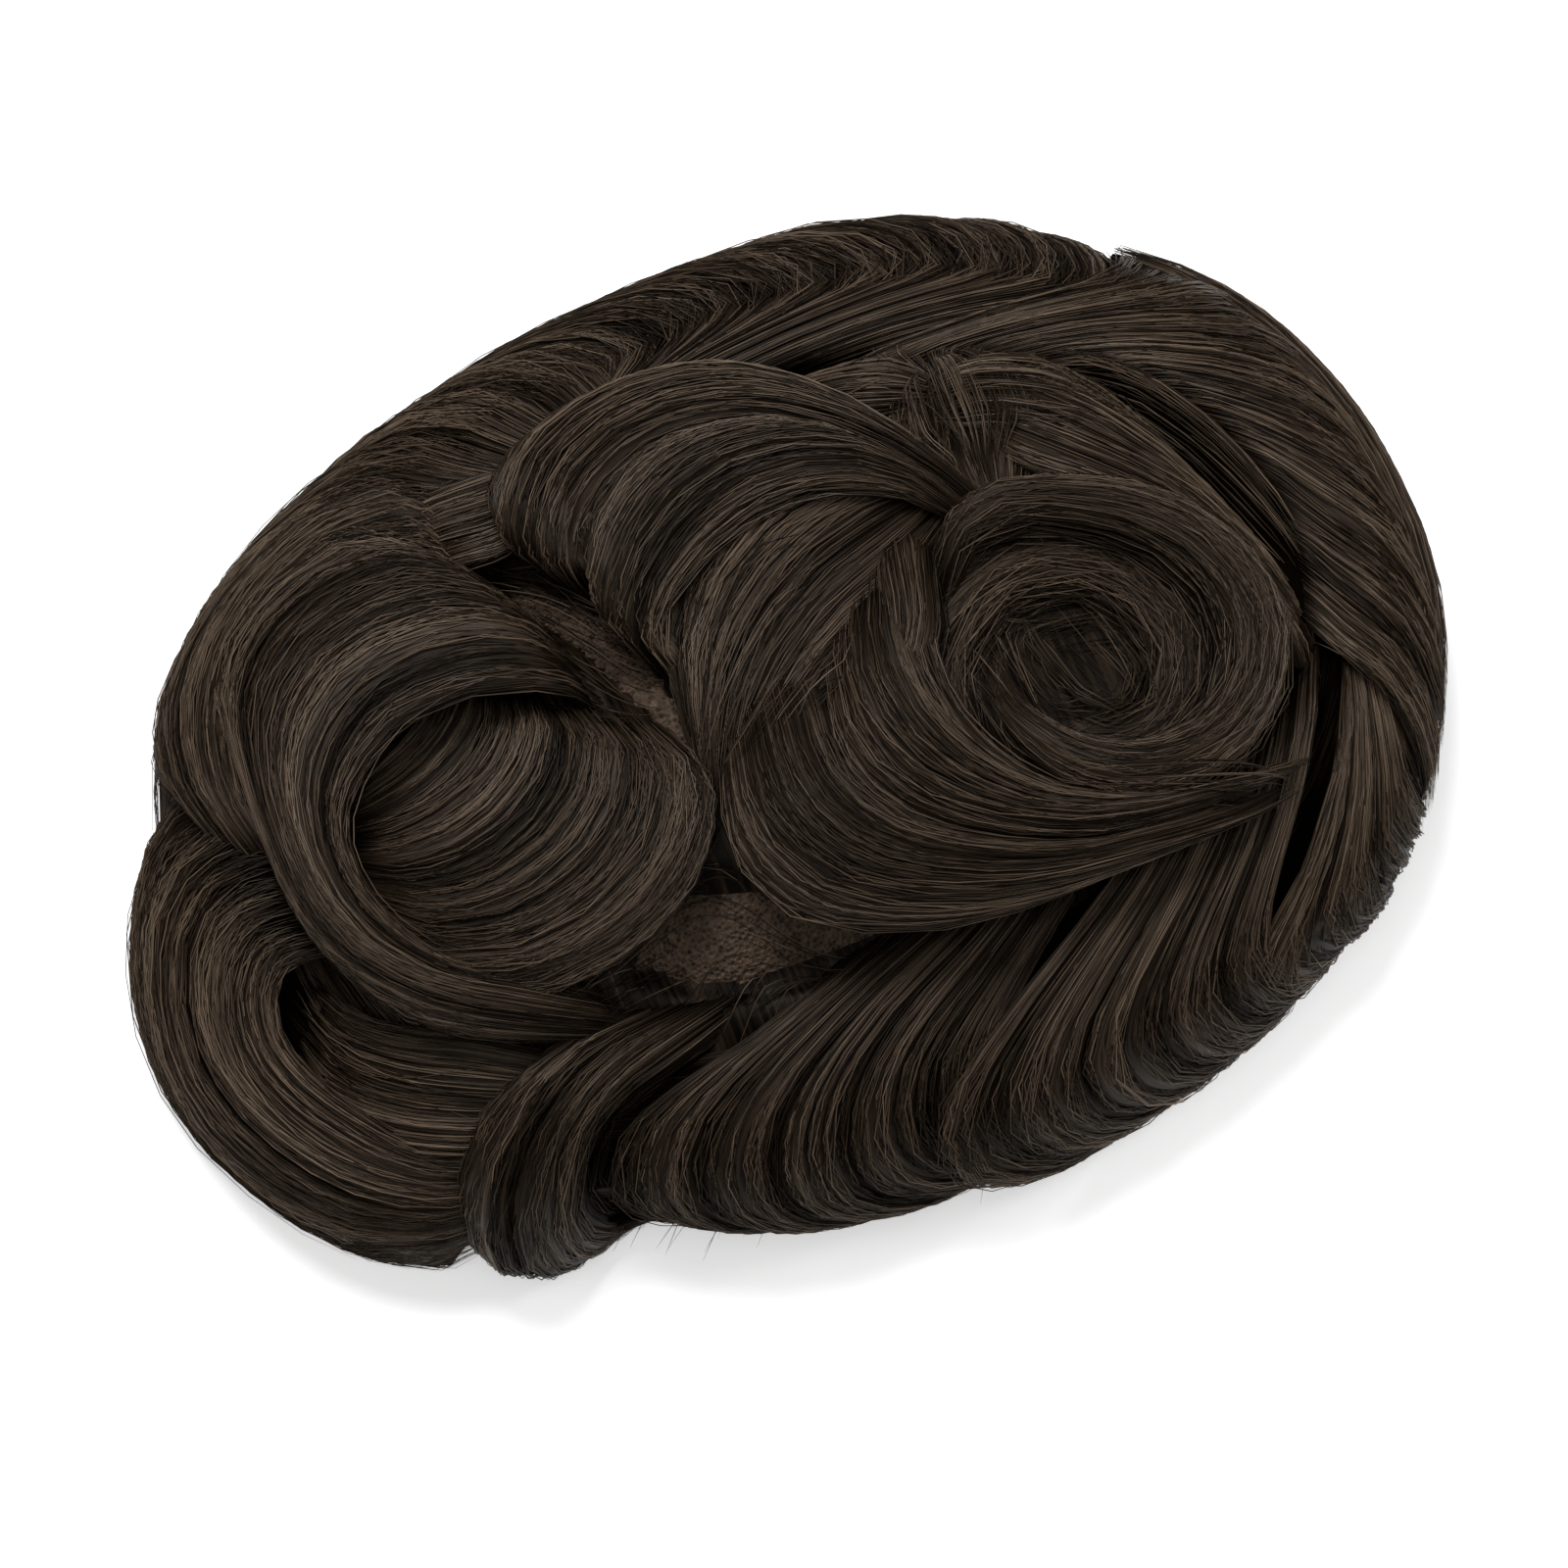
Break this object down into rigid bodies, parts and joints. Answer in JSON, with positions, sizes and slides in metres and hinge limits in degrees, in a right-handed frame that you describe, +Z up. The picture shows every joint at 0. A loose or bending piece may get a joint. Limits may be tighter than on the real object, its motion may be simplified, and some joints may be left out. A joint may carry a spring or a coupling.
{
  "type": "toupee hairpiece",
  "caption": "Domed hairpiece for the top of the head: short wavy hair combed from a side parting and a crown whorl, curled under round the rim of a thin base cap.",
  "frame": {"origin": "under the middle of the whole piece, on the surface that it stands on", "axes": "-X is the front of the head, +X the back, -Y the near side in the picture, +Z up"},
  "size_m": [0.2656, 0.1934, 0.0711],
  "materials": {
    "base": "fine knotted mesh",
    "hair": "soft sheen along the strands"
  },
  "bodies": {
    "root": {"base_cap": "base", "hair_roots": "hair", "forelock": "hair", "top_wave_inner": "hair", "lower_wave_outer": "hair", "lower_wave_inner": "hair", "top_wave_outer": "hair", "swirl_ring": "hair", "swirl_core": "hair", "crown_fan_back": "hair", "forelock_bowl": "hair", "mid_bowl": "hair", "crown_fan_front": "hair", "front_roll": "hair", "front_core": "hair", "front_tail": "hair", "side_front_roll": "hair", "side_mid_roll": "hair", "side_back_roll": "hair", "back_roll": "hair", "back_top_roll": "hair", "top_back_roll": "hair", "top_mid_roll": "hair", "top_front_roll": "hair", "front_side_roll": "hair"}
  },
  "joints": []
}
